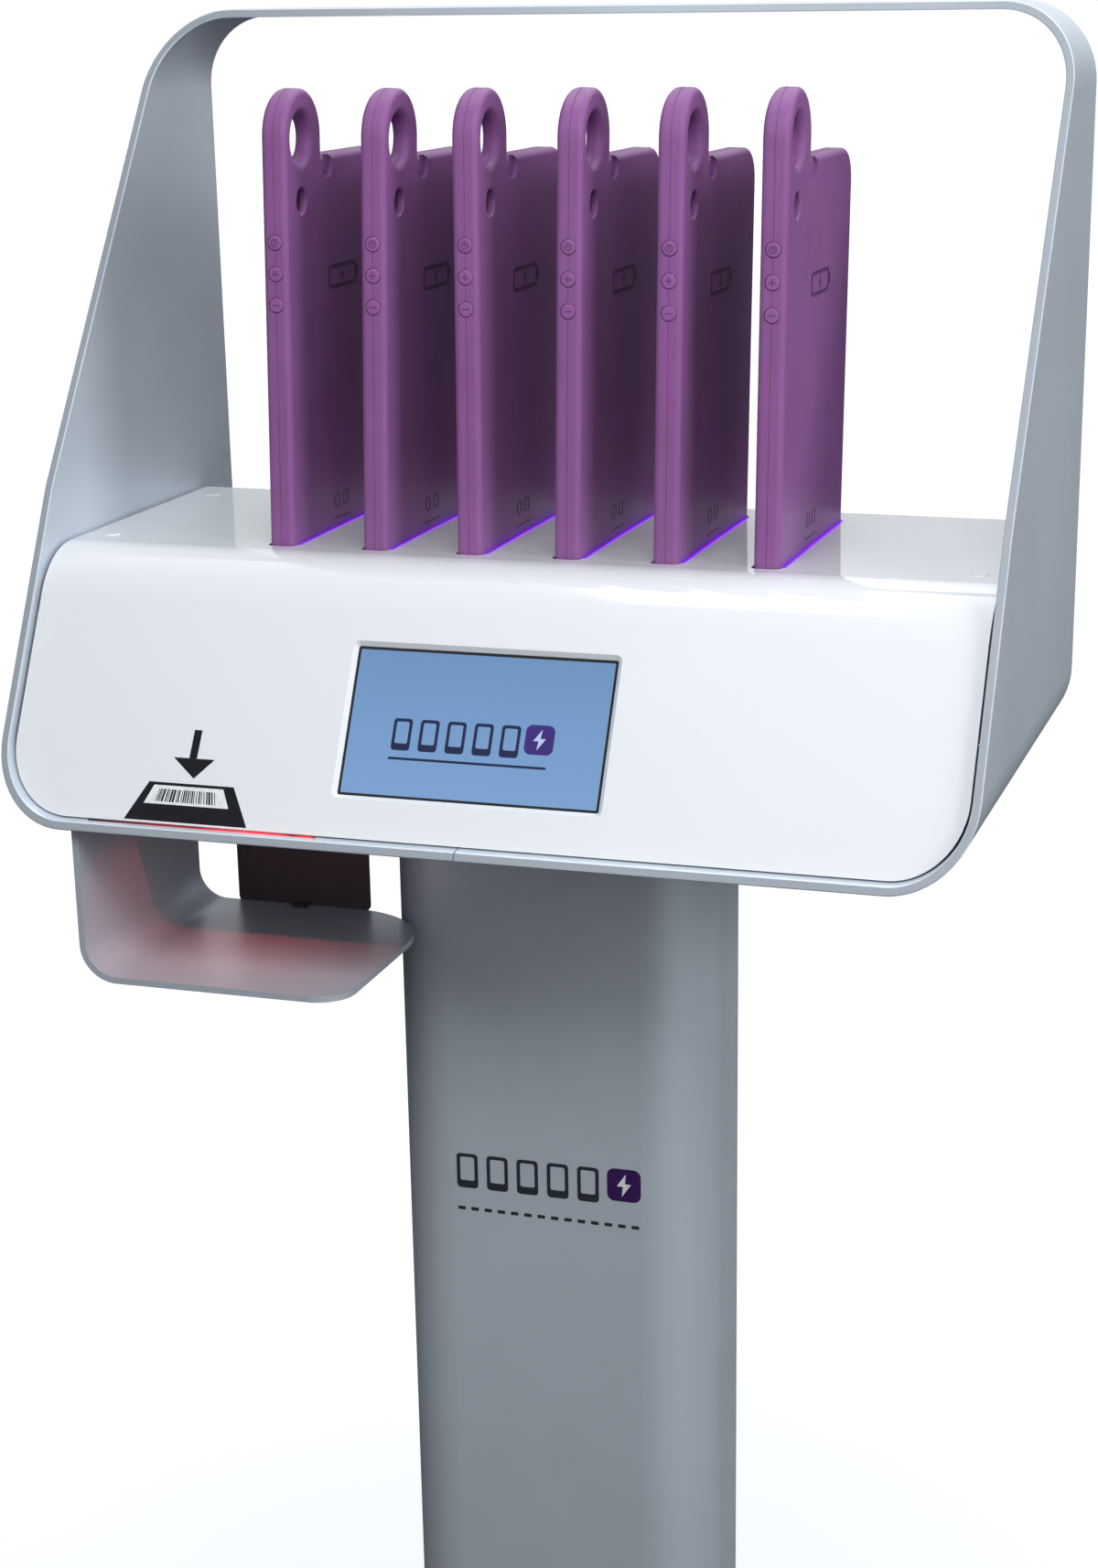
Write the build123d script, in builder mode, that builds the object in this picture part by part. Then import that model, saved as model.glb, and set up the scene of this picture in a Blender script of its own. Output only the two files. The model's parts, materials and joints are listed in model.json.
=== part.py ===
"""Six-bay tablet lending and charging kiosk: a bent sheet head on a floor-standing column.

Frame: origin on the floor under the middle of the column, +X to the right seen from the front,
+Y to the back, +Z up. Millimetres.
"""
from build123d import *
from math import hypot
import os

os.makedirs("parts", exist_ok=True)

# ---- driving dimensions: the head ------------------------------------------------------------
head_width = 590
head_height = 458
head_base_z = 1080
head_top_z = head_base_z + head_height
lip_y = -213  # front lip of the head, at its underside
back_y = lip_y + 362
bend_y, bend_z = lip_y + 102.5, head_base_z + 185.6  # where the front edge leans further back
crown_y = lip_y + 301.6  # front edge of the top strip
band_sheet = 5
band_radius = 48
band_edge_round = 0.7
seam_gap = 0.8

# ---- driving dimensions: the white cover ------------------------------------------------------
cover_sheet = 3
cover_recess = 5.5  # how far the cover's face lies behind the band's front edge
cover_side_gap = 2
cover_base_z = head_base_z + 6
deck_z = head_base_z + 150
deck_back_y = lip_y + 316
cover_bend_radius = 48
cap_radius = 5
cap_places = [(x, lip_y + y) for x in (-271, 271) for y in (140, 288)]

# ---- driving dimensions: the tablets and their bays -------------------------------------------
bay_count = 6
bay_pitch = 60.35
bay_middle_x = -2
bay_xs = [bay_middle_x + (i - (bay_count - 1) / 2) * bay_pitch for i in range(bay_count)]
bay_leans = (1.5, 1.8, 0.75, 1.3, 1.05, 0.9)  # each tablet stands a little askew in its slot: degrees
bay_pivot_z = head_base_z + 132
case_thick = 15.8
case_width = 164
case_front_y = lip_y + 129
case_base_z = head_base_z + 115
case_top_z = head_base_z + 376
case_back_radius = 20
case_foot_radius = 6
case_edge_round = 3.6
handle_width = 55
handle_top_z = head_base_z + 415
finger_hole_radius = 14
finger_hole_place = (case_front_y + 24, head_base_z + 387)
finger_hole_round = 4.5
loop_thinned = 6  # the loop is this much thinner at its back than the case
planed_edge_round = 0.8
groove_width, groove_depth = 0.5, 0.35  # the mould's parting line round the case
tablet_size = (7.5, 149.4, 245.2)  # a ten-inch tablet: thickness, width, height
tablet_back = 4  # from the case's middle plane to the tablet's back
tablet_base_z = case_base_z + 4
button_radius = 4.3
button_heights = {"power": 329, "volume_up": 311, "volume_down": 293}
button_gap = 0.3
button_pocket = 3.2
button_proud = 0.8
button_length = 3.2  # leaves 0.8 mm behind the button for its travel
screen_border = 5.5
camera_place = (case_front_y + 23, head_base_z + 351.5)
camera_window_radius = 7.4
camera_window_round = 1.3
strap_notch = (16, 13.5, 2.4)
strap_hole = (case_front_y + 64, head_base_z + 364.8, 1.5)
pocket_floor_drop = 0.4  # room below a leaning foot
bay_clearance = 1.2
light_guide_width = 2

# ---- driving dimensions: display, scanner, column and base ------------------------------------
display_active = (155, 86)
display_rise = 80.5  # distance up the sloping face from the lip to the display's middle
scanner_x, scanner_y = -166, lip_y + 58
tray_sheet = 4
tray_left, tray_right = -244.2, -75
tray_front_y, tray_back_y = lip_y + 9, lip_y + 172
tray_floor_z = head_base_z - 93
column_width, column_depth = 212, 120
column_radius = 41.5
column_wall = 3
base_size = (480, 420)
base_thick = 10
anchor_spacing = (400, 340)
anchor_radius = 5.5
joint_bolts = (140, 72)  # the four bolts at each end of the column
bolt_radius = 4

# ---- worked out from the above ----------------------------------------------------------------
lean = (bend_y - lip_y) / (bend_z - head_base_z)
slope_factor = hypot(1, lean)
slope_normal = (0, -1 / slope_factor, lean / slope_factor)
case_middle_y = case_front_y + case_width / 2


def sloped_y(height, depth):
    """Y of a plane lying `depth` behind the band's front edge, at `height` above the head's base."""
    return lip_y + height * lean + depth * slope_factor


def display_plane(depth):
    """Sketch plane parallel to the sloping face and centred on the display, `depth` behind the edge."""
    height = (display_rise - depth * lean) / slope_factor
    return Plane(
        origin=(0, sloped_y(height, depth), head_base_z + height),
        x_dir=(1, 0, 0),
        z_dir=slope_normal,
    )


# ---- base and column --------------------------------------------------------------------------
with BuildPart() as base_plate:
    with BuildSketch(Plane.XY):
        RectangleRounded(base_size[0], base_size[1], 60)
    extrude(amount=base_thick)
    fillet(base_plate.faces().sort_by(Axis.Z)[-1].edges(), 3)
    with Locations(Plane.XY.offset(base_thick)):
        with GridLocations(anchor_spacing[0], anchor_spacing[1], 2, 2):
            CounterSinkHole(anchor_radius, anchor_radius * 2, counter_sink_angle=90)
    with Locations(Plane.XY.rotated((180, 0, 0))):
        with GridLocations(joint_bolts[0], joint_bolts[1], 2, 2):
            CounterSinkHole(bolt_radius, bolt_radius * 2, counter_sink_angle=90)
base_plate.part.label = "base_plate"
export_step(base_plate.part, "parts/base_plate.step")

with BuildPart() as base_flange:
    with BuildSketch(Plane.XY.offset(base_thick)):
        RectangleRounded(
            column_width - 2 * column_wall, column_depth - 2 * column_wall, column_radius - column_wall
        )
        with GridLocations(joint_bolts[0], joint_bolts[1], 2, 2):
            Circle(bolt_radius, mode=Mode.SUBTRACT)
    extrude(amount=8)
base_flange.part.label = "base_flange"
export_step(base_flange.part, "parts/base_flange.step")

with BuildPart() as base_bolts:
    with BuildSketch(Plane.XY.offset(0.5)):
        with GridLocations(joint_bolts[0], joint_bolts[1], 2, 2):
            Circle(bolt_radius * 2 - 0.5)
    extrude(amount=bolt_radius - 0.5, taper=45)
    with BuildSketch(Plane.XY.offset(bolt_radius - 0.5)):
        with GridLocations(joint_bolts[0], joint_bolts[1], 2, 2):
            Circle(bolt_radius)
    extrude(amount=base_thick + 14 - bolt_radius)
base_bolts.part.label = "base_bolts"
export_step(base_bolts.part, "parts/base_bolts.step")

gland_z = 120
gland_bore = 5
gland_thread = 10

with BuildPart() as column_tube:
    with BuildSketch(Plane.XY.offset(base_thick)):
        RectangleRounded(column_width, column_depth, column_radius)
        RectangleRounded(
            column_width - 2 * column_wall,
            column_depth - 2 * column_wall,
            column_radius - column_wall,
            mode=Mode.SUBTRACT,
        )
    extrude(amount=head_base_z - base_thick)
    with BuildSketch(Plane.XZ.offset(-column_depth / 2)):
        with Locations((0, gland_z)):
            Circle(gland_thread)
    extrude(amount=column_wall, mode=Mode.SUBTRACT)
column_tube.part.label = "column_tube"
export_step(column_tube.part, "parts/column_tube.step")

with BuildPart() as cable_gland:
    with BuildSketch(Plane.XZ.offset(-column_depth / 2)):
        with Locations((0, gland_z)):
            RegularPolygon(14.5, 6)
    extrude(amount=-6)
    with BuildSketch(Plane.XZ.offset(-column_depth / 2 - 6)):
        with Locations((0, gland_z)):
            Circle(11.5)
    extrude(amount=-14)
    fillet(cable_gland.faces().sort_by(Axis.Y)[-1].edges(), 4)
    with BuildSketch(Plane.XZ.offset(-column_depth / 2)):
        with Locations((0, gland_z)):
            Circle(gland_thread)
    extrude(amount=column_wall)
    with BuildSketch(Plane.XZ.offset(-column_depth / 2 + column_wall)):
        with Locations((0, gland_z)):
            RegularPolygon(14.5, 6)
    extrude(amount=5)
    with BuildSketch(Plane.XZ.offset(-column_depth / 2 + column_wall + 5)):
        with Locations((0, gland_z)):
            Circle(gland_bore)
    extrude(amount=-40, mode=Mode.SUBTRACT)
cable_gland.part.label = "cable_gland"
export_step(cable_gland.part, "parts/cable_gland.step")

with BuildPart() as head_flange:
    with BuildSketch(Plane.XY.offset(head_base_z)):
        RectangleRounded(
            column_width - 2 * column_wall, column_depth - 2 * column_wall, column_radius - column_wall
        )
        Circle(20, mode=Mode.SUBTRACT)
        with GridLocations(joint_bolts[0], joint_bolts[1], 2, 2):
            Circle(bolt_radius, mode=Mode.SUBTRACT)
    extrude(amount=-6)
head_flange.part.label = "head_flange"
export_step(head_flange.part, "parts/head_flange.step")

with BuildPart() as head_bolts:
    with BuildSketch(Plane.XY.offset(head_base_z + band_sheet)):
        with GridLocations(joint_bolts[0], joint_bolts[1], 2, 2):
            RegularPolygon(7.5, 6)
    extrude(amount=5.3)
    with BuildSketch(Plane.XY.offset(head_base_z + band_sheet)):
        with GridLocations(joint_bolts[0], joint_bolts[1], 2, 2):
            Circle(bolt_radius)
    extrude(amount=-22)
head_bolts.part.label = "head_bolts"
export_step(head_bolts.part, "parts/head_bolts.step")

# ---- the bent band that frames the head ---------------------------------------------------------
window_opening = (56, 30)
tray_flange_holes = [(-230, lip_y + y) for y in (85, 140)]
plate_flange_holes = [(x, lip_y + 186) for x in (-195, -140)]

with BuildPart() as frame_band:
    with BuildSketch(Plane.XZ.offset(-back_y)):
        with Locations((0, head_base_z + head_height / 2)):
            RectangleRounded(head_width, head_height, band_radius)
            RectangleRounded(
                head_width - 2 * band_sheet,
                head_height - 2 * band_sheet,
                band_radius - band_sheet,
                mode=Mode.SUBTRACT,
            )
    extrude(amount=back_y - lip_y)
    with BuildSketch(Plane.YZ):
        with BuildLine():
            Polyline(
                (lip_y, head_base_z),
                (bend_y, bend_z),
                (crown_y, head_top_z),
                (back_y, head_top_z),
                (back_y, head_base_z),
                close=True,
            )
        make_face()
    extrude(amount=head_width / 2, both=True, mode=Mode.INTERSECT)
    front_faces = frame_band.faces().filter_by(lambda f: f.normal_at().Y < -0.5)
    inner_and_outer_rims = front_faces.edges().filter_by(lambda e: e.length > band_sheet * 1.5)
    chamfer(inner_and_outer_rims, band_edge_round)
    with BuildSketch(Plane.XY.offset(head_base_z)):
        with Locations((0, (lip_y + back_y) / 2)):
            Rectangle(seam_gap, back_y - lip_y + 2)
        Circle(20)
        with GridLocations(joint_bolts[0], joint_bolts[1], 2, 2):
            Circle(bolt_radius)
        with Locations((scanner_x, scanner_y)):
            Rectangle(*window_opening)
        with Locations(*tray_flange_holes, *plate_flange_holes):
            Circle(2)
    extrude(amount=band_sheet, mode=Mode.SUBTRACT)
frame_band.part.label = "frame_band"
export_step(frame_band.part, "parts/frame_band.step")

# ---- white cover: sloping face and deck in one bent sheet -----------------------------------------
cover_width = head_width - 2 * (band_sheet + cover_side_gap)
slot_left = case_thick / 2 + bay_clearance + 0.1
slot_right = case_thick / 2 + 1.0
slot_length = case_width + 2 * bay_clearance
light_guide_length = case_width - 8
display_window = (display_active[0] + 3.4, display_active[1] + 3.4)
window_bevel = 2.6

with BuildPart() as deck_cover:
    with BuildSketch(Plane.YZ.offset(-cover_width / 2)):
        with BuildLine():
            outer_skin = FilletPolyline(
                (sloped_y(cover_base_z - head_base_z, cover_recess), cover_base_z),
                (sloped_y(deck_z - head_base_z, cover_recess), deck_z),
                (deck_back_y, deck_z),
                radius=cover_bend_radius,
            )
            inner_skin = FilletPolyline(
                (sloped_y(cover_base_z - head_base_z, cover_recess + cover_sheet), cover_base_z),
                (
                    sloped_y(deck_z - cover_sheet - head_base_z, cover_recess + cover_sheet),
                    deck_z - cover_sheet,
                ),
                (deck_back_y, deck_z - cover_sheet),
                radius=cover_bend_radius - cover_sheet,
            )
            Line(outer_skin @ 0, inner_skin @ 0)
            Line(outer_skin @ 1, inner_skin @ 1)
        make_face()
    extrude(amount=cover_width)
    with BuildSketch(Plane.XZ.offset(-back_y)):
        with Locations((0, cover_base_z + 150)):
            RectangleRounded(cover_width, 300, band_radius - band_sheet - cover_side_gap)
    extrude(amount=back_y - lip_y, mode=Mode.INTERSECT)
    with BuildSketch(display_plane(cover_recess)):
        RectangleRounded(display_window[0] + 2 * window_bevel, display_window[1] + 2 * window_bevel, 4)
    extrude(amount=-window_bevel, taper=45, mode=Mode.SUBTRACT)
    with BuildSketch(display_plane(cover_recess)):
        RectangleRounded(display_window[0], display_window[1], 1.4)
    extrude(amount=-cover_sheet * 2, mode=Mode.SUBTRACT)
    with BuildSketch(Plane.XY.offset(deck_z)):
        with Locations(*[(x + (slot_right - slot_left) / 2, case_middle_y) for x in bay_xs]):
            RectangleRounded(slot_left + slot_right, slot_length, 4)
        with Locations(*[(x + slot_right + light_guide_width / 2, case_middle_y) for x in bay_xs]):
            Rectangle(light_guide_width, light_guide_length)
        with Locations(*cap_places):
            Circle(2.1)
    extrude(amount=-cover_sheet * 2, mode=Mode.SUBTRACT)
    with BuildSketch(Plane.XY.offset(deck_z)):
        with Locations(*cap_places):
            Circle(cap_radius)
    extrude(amount=-1.2, mode=Mode.SUBTRACT)
    with BuildSketch(Plane.XY.offset(deck_z - 1.2)):
        with Locations(*cap_places):
            Circle(4)
    extrude(amount=-0.9, mode=Mode.SUBTRACT)
deck_cover.part.label = "deck_cover"
export_step(deck_cover.part, "parts/deck_cover.step")

with BuildPart() as deck_screw_caps:
    with BuildSketch(Plane.XY.offset(deck_z - 1.2)):
        with Locations(*cap_places):
            Circle(cap_radius)
    extrude(amount=1.7)
    chamfer(deck_screw_caps.faces().group_by(Axis.Z)[-1].edges(), 0.4)
deck_screw_caps.part.label = "deck_screw_caps"
export_step(deck_screw_caps.part, "parts/deck_screw_caps.step")

with BuildPart() as deck_screws:
    with BuildSketch(Plane.XY.offset(deck_z - 2.1)):
        with Locations(*cap_places):
            Circle(4)
    extrude(amount=0.9)
    with BuildSketch(Plane.XY.offset(deck_z - 2.1)):
        with Locations(*cap_places):
            Circle(2)
    extrude(amount=-10)
deck_screws.part.label = "deck_screws"
export_step(deck_screws.part, "parts/deck_screws.step")

rail_width, rail_drop = 28, 30
rail_length = 180

with BuildPart() as deck_rails:
    for side in (-1, 1):
        wall_x = side * (head_width / 2 - band_sheet)
        with BuildSketch(Plane.XZ.offset(-(lip_y + 124))):
            with BuildLine():
                Polyline(
                    (wall_x, deck_z - cover_sheet),
                    (wall_x - side * rail_width, deck_z - cover_sheet),
                    (wall_x - side * rail_width, deck_z - 2 * cover_sheet),
                    (wall_x - side * 3, deck_z - 2 * cover_sheet),
                    (wall_x - side * 3, deck_z - rail_drop),
                    (wall_x, deck_z - rail_drop),
                    close=True,
                )
            make_face()
        extrude(amount=-rail_length)
    with BuildSketch(Plane.XY.offset(deck_z)):
        with Locations(*cap_places):
            Circle(2)
    extrude(amount=-12, mode=Mode.SUBTRACT)
deck_rails.part.label = "deck_rails"
export_step(deck_rails.part, "parts/deck_rails.step")

# ---- dock: chassis, guides, contacts and lights under the deck ------------------------------------
chassis_sheet = 2
chassis_top_z = case_base_z - 21
chassis_width = 470
chassis_front_y = lip_y + 118
chassis_back_y = lip_y + 311
rear_screw_xs = (-200, -70, 70, 200)
rear_screw_z = chassis_top_z - 16
contact_shift = tablet_back - tablet_size[0] / 2  # the tablet's socket lies off the case's middle
contact_places = [(x + contact_shift, case_middle_y) for x in bay_xs]

with BuildPart() as dock_chassis:
    with BuildSketch(Plane.XZ.offset(-chassis_back_y)):
        with Locations((0, chassis_top_z)):
            Rectangle(chassis_width, chassis_sheet, align=(Align.CENTER, Align.MAX))
        for side in (-1, 1):
            with Locations((side * chassis_width / 2, chassis_top_z)):
                Rectangle(
                    chassis_sheet,
                    chassis_top_z - head_base_z - band_sheet,
                    align=(Align.MAX if side > 0 else Align.MIN, Align.MAX),
                )
            with Locations((side * chassis_width / 2, head_base_z + band_sheet)):
                Rectangle(25, chassis_sheet, align=(Align.MAX if side > 0 else Align.MIN, Align.MIN))
    extrude(amount=chassis_back_y - chassis_front_y)
    with BuildSketch(Plane.XZ.offset(-chassis_back_y)):
        with Locations((0, chassis_top_z)):
            Rectangle(chassis_width, 34, align=(Align.CENTER, Align.MAX))
        with Locations(*[(x, rear_screw_z) for x in rear_screw_xs]):
            Circle(2, mode=Mode.SUBTRACT)
    extrude(amount=chassis_sheet)
    with BuildSketch(Plane.XY.offset(chassis_top_z)):
        with Locations(*contact_places):
            Rectangle(12, 18)
    extrude(amount=-chassis_sheet, mode=Mode.SUBTRACT)
dock_chassis.part.label = "dock_chassis"
export_step(dock_chassis.part, "parts/dock_chassis.step")

guide_wall = 2.5
guide_top_z = deck_z - 12.5

guide_centres = [(x + (slot_right - slot_left) / 2, case_middle_y) for x in bay_xs]

with BuildPart() as dock_guides:
    with BuildSketch(Plane.XY.offset(chassis_top_z)):
        with Locations(*guide_centres):
            RectangleRounded(slot_left + slot_right + 2 * guide_wall, slot_length + 2 * guide_wall, 5)
    extrude(amount=guide_top_z - chassis_top_z)
    with BuildSketch(Plane.XY.offset(case_base_z - pocket_floor_drop)):
        with Locations(*guide_centres):
            RectangleRounded(slot_left + slot_right, slot_length, 4)
    extrude(amount=guide_top_z - case_base_z + pocket_floor_drop, mode=Mode.SUBTRACT)
    with BuildSketch(Plane.XY.offset(chassis_top_z)):
        with Locations(*guide_centres):
            Rectangle(slot_left + slot_right - 1, slot_length - 6)
    extrude(amount=case_base_z - 4 - chassis_top_z, mode=Mode.SUBTRACT)
    with BuildSketch(Plane.XY.offset(case_base_z)):
        with Locations(*contact_places):
            Rectangle(10, 16)
    extrude(amount=-4, mode=Mode.SUBTRACT)
dock_guides.part.label = "dock_guides"
export_step(dock_guides.part, "parts/dock_guides.step")

with BuildPart() as slot_light_guides:
    with BuildSketch(Plane.XY.offset(deck_z - 0.3)):
        with Locations(*[(x + slot_right + light_guide_width / 2, case_middle_y) for x in bay_xs]):
            Rectangle(light_guide_width, light_guide_length)
    extrude(amount=-(deck_z - 0.3 - guide_top_z))
slot_light_guides.part.label = "slot_light_guides"
export_step(slot_light_guides.part, "parts/slot_light_guides.step")

board_thick = 1.6
dock_board_size = (360, 60)
charger_size = (22, 26)
charger_height = 5

with BuildPart() as dock_board:
    with BuildSketch(Plane.XY.offset(chassis_top_z - chassis_sheet)):
        with Locations((bay_middle_x, case_middle_y)):
            Rectangle(*dock_board_size)
    extrude(amount=-board_thick)
    with BuildSketch(Plane.XY.offset(chassis_top_z - chassis_sheet - board_thick)):
        with Locations((bay_middle_x, case_middle_y)):
            with GridLocations(bay_pitch, 0, bay_count, 1):
                Rectangle(*charger_size)
    extrude(amount=-charger_height)
dock_board.part.label = "dock_board"
export_step(dock_board.part, "parts/dock_board.step")

with BuildPart() as dock_contacts:
    with BuildSketch(Plane.XY.offset(chassis_top_z - chassis_sheet)):
        with Locations(*contact_places):
            Rectangle(8, 13)
    extrude(amount=case_base_z - 1 - (chassis_top_z - chassis_sheet))
    with BuildSketch(Plane.XY.offset(case_base_z - 1)):
        with Locations(*contact_places):
            RectangleRounded(2.5, 8.3, 1.2)
    extrude(amount=11)
dock_contacts.part.label = "dock_contacts"
export_step(dock_contacts.part, "parts/dock_contacts.step")

# ---- rear cover -------------------------------------------------------------------------------------
rear_sheet = 2.5

with BuildPart() as rear_cover:
    with BuildSketch(Plane.XZ.offset(-chassis_back_y)):
        with Locations((0, cover_base_z + 150)):
            RectangleRounded(cover_width, 300, band_radius - band_sheet - cover_side_gap)
        with Locations((0, deck_z - cover_sheet)):
            Rectangle(cover_width + 2, 300, align=(Align.CENTER, Align.MIN), mode=Mode.SUBTRACT)
        for side in (-1, 1):
            with Locations((side * head_width / 2, deck_z)):
                Rectangle(
                    2 * (rail_width + band_sheet + 1), 2 * (rail_drop + 1), mode=Mode.SUBTRACT
                )
        with Locations(*[(x, rear_screw_z) for x in rear_screw_xs]):
            Circle(2.1, mode=Mode.SUBTRACT)
        with Locations((0, head_base_z + 42)):
            with GridLocations(9, 0, 30, 1):
                SlotOverall(34, 3, rotation=90, mode=Mode.SUBTRACT)
    extrude(amount=-rear_sheet)
rear_cover.part.label = "rear_cover"
export_step(rear_cover.part, "parts/rear_cover.step")

with BuildPart() as rear_screws:
    with BuildSketch(Plane.XZ.offset(-chassis_back_y - rear_sheet)):
        with Locations(*[(x, rear_screw_z) for x in rear_screw_xs]):
            Circle(4)
    extrude(amount=-2)
    fillet(rear_screws.faces().group_by(Axis.Y)[-1].edges(), 1.2)
    with BuildSketch(Plane.XZ.offset(-chassis_back_y - rear_sheet)):
        with Locations(*[(x, rear_screw_z) for x in rear_screw_xs]):
            Circle(2)
    extrude(amount=8)
rear_screws.part.label = "rear_screws"
export_step(rear_screws.part, "parts/rear_screws.step")

# ---- display and its electronics ----------------------------------------------------------------------
glass_thick = 1.5
glass_back = cover_recess + cover_sheet + glass_thick
module_thick = 6
module_back = glass_back + module_thick
pan_sheet = 1.5
pan_size = (190, 120)
pan_pocket = (170, 104)

standoff = 6  # between the pan and the board on its back

with BuildPart() as display_glass:
    with BuildSketch(display_plane(cover_recess + cover_sheet)):
        Rectangle(display_active[0] + 11, display_active[1] + 11)
    extrude(amount=-glass_thick)
display_glass.part.label = "display_glass"
export_step(display_glass.part, "parts/display_glass.step")

with BuildPart() as display_module:
    with BuildSketch(display_plane(glass_back)):
        Rectangle(display_active[0] + 10, display_active[1] + 14)
    extrude(amount=-module_thick)
display_module.part.label = "display_module"
export_step(display_module.part, "parts/display_module.step")

with BuildPart() as display_pan:
    with BuildSketch(display_plane(cover_recess + cover_sheet)):
        Rectangle(*pan_size)
        Rectangle(*pan_pocket, mode=Mode.SUBTRACT)
    extrude(amount=-pan_sheet)
    with BuildSketch(display_plane(cover_recess + cover_sheet)):
        Rectangle(pan_pocket[0] + 2 * pan_sheet, pan_pocket[1] + 2 * pan_sheet)
        Rectangle(*pan_pocket, mode=Mode.SUBTRACT)
    extrude(amount=-(module_back - cover_recess - cover_sheet))
    with BuildSketch(display_plane(module_back)):
        Rectangle(pan_pocket[0] + 2 * pan_sheet, pan_pocket[1] + 2 * pan_sheet)
    extrude(amount=-pan_sheet)
    with BuildSketch(display_plane(module_back + pan_sheet)):
        with GridLocations(100, 66, 2, 2):
            Circle(3)
    extrude(amount=-standoff)
display_pan.part.label = "display_pan"
export_step(display_pan.part, "parts/display_pan.step")

with BuildPart() as main_board:
    with BuildSketch(display_plane(module_back + pan_sheet + standoff)):
        Rectangle(112, 78)
    extrude(amount=-board_thick)
    with BuildSketch(display_plane(module_back + pan_sheet + standoff + board_thick)):
        with Locations((-20, 8)):
            Rectangle(34, 34)
        with Locations((25, 12)):
            Rectangle(18, 22)
        with Locations((38, -26)):
            Rectangle(26, 16)
    extrude(amount=-7)
main_board.part.label = "main_board"
export_step(main_board.part, "parts/main_board.step")

head_floor_z = head_base_z + band_sheet
supply_place = (-148, lip_y + 250)
supply_height = 42
hub_x, hub_front_y, hub_depth = 142, lip_y + 196, 88
hub_height = 28

with BuildPart() as power_supply:
    with BuildSketch(Plane.XY.offset(head_floor_z)):
        with Locations(supply_place):
            Rectangle(112, 96)
    extrude(amount=supply_height)
    fillet(power_supply.edges().filter_by(Axis.Z), 2)
    with BuildSketch(Plane.XY.offset(head_floor_z + supply_height)):
        with Locations(supply_place):
            with GridLocations(8, 0, 9, 1):
                SlotOverall(50, 3, rotation=90)
    extrude(amount=-1.5, mode=Mode.SUBTRACT)
power_supply.part.label = "power_supply"
export_step(power_supply.part, "parts/power_supply.step")

with BuildPart() as usb_hub:
    with BuildSketch(Plane.XY.offset(head_floor_z)):
        with Locations((hub_x, hub_front_y)):
            Rectangle(120, hub_depth, align=(Align.CENTER, Align.MIN))
    extrude(amount=hub_height)
    fillet(usb_hub.edges().filter_by(Axis.Z), 4)
    with BuildSketch(Plane.XZ.offset(-hub_front_y)):
        with Locations((hub_x, head_floor_z + hub_height / 2)):
            with GridLocations(18, 0, bay_count, 1):
                Rectangle(14, 6.5)
    extrude(amount=-10, mode=Mode.SUBTRACT)
usb_hub.part.label = "usb_hub"
export_step(usb_hub.part, "parts/usb_hub.step")

# ---- scanner and its tray ---------------------------------------------------------------------------------
window_thick = 3
reader_height = 34
reader_mouth_depth = 12

with BuildPart() as scanner_window:
    with BuildSketch(Plane.XY.offset(head_floor_z)):
        with Locations((scanner_x, scanner_y)):
            Rectangle(window_opening[0] + 8, window_opening[1] + 8)
    extrude(amount=window_thick)
scanner_window.part.label = "scanner_window"
export_step(scanner_window.part, "parts/scanner_window.step")

with BuildPart() as scanner_module:
    with BuildSketch(Plane.XY.offset(head_floor_z + window_thick)):
        with Locations((scanner_x, scanner_y + 8)):
            Rectangle(60, 42)
    extrude(amount=reader_height)
    fillet(scanner_module.edges().filter_by(Axis.Z), 4)
    with BuildSketch(Plane.XY.offset(head_floor_z + window_thick)):
        with Locations((scanner_x, scanner_y + 4)):
            Rectangle(40, 18)
    extrude(amount=reader_mouth_depth, taper=20, mode=Mode.SUBTRACT)
scanner_module.part.label = "scanner_module"
export_step(scanner_module.part, "parts/scanner_module.step")

tray_bend = 23
tray_front_corner, tray_back_corner = 22, 55

with BuildPart() as scanner_tray:
    with BuildSketch(Plane.XZ.offset(-tray_back_y)):
        with BuildLine():
            outer_bend = FilletPolyline(
                (tray_left, head_base_z),
                (tray_left, tray_floor_z - tray_sheet),
                (tray_right, tray_floor_z - tray_sheet),
                radius=tray_bend,
            )
            inner_bend = FilletPolyline(
                (tray_left + tray_sheet, head_base_z),
                (tray_left + tray_sheet, tray_floor_z),
                (tray_right, tray_floor_z),
                radius=tray_bend - tray_sheet,
            )
            Line(outer_bend @ 0, inner_bend @ 0)
            Line(outer_bend @ 1, inner_bend @ 1)
        make_face()
    extrude(amount=tray_back_y - tray_front_y)
    fillet(scanner_tray.edges().filter_by(Axis.Z).group_by(Axis.X)[-1].sort_by(Axis.Y)[0], tray_front_corner)
    fillet(scanner_tray.edges().filter_by(Axis.Z).group_by(Axis.X)[-1].sort_by(Axis.Y)[-1], tray_back_corner)
    with BuildSketch(Plane.XY.offset(head_base_z)):
        with Locations((tray_left, lip_y + 70)):
            Rectangle(26, 90, align=(Align.MIN, Align.MIN))
        with Locations(*tray_flange_holes):
            Circle(2.2, mode=Mode.SUBTRACT)
    extrude(amount=-tray_sheet)
scanner_tray.part.label = "scanner_tray"
export_step(scanner_tray.part, "parts/scanner_tray.step")

plate_sheet = 3
plate_x = -167.5
plate_width = 91
plate_drop = 94.5  # down to the tray's back edge
plate_corner = 4
foot_tab = (10, 8, 1.5)  # lies on the tray's floor

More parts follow.
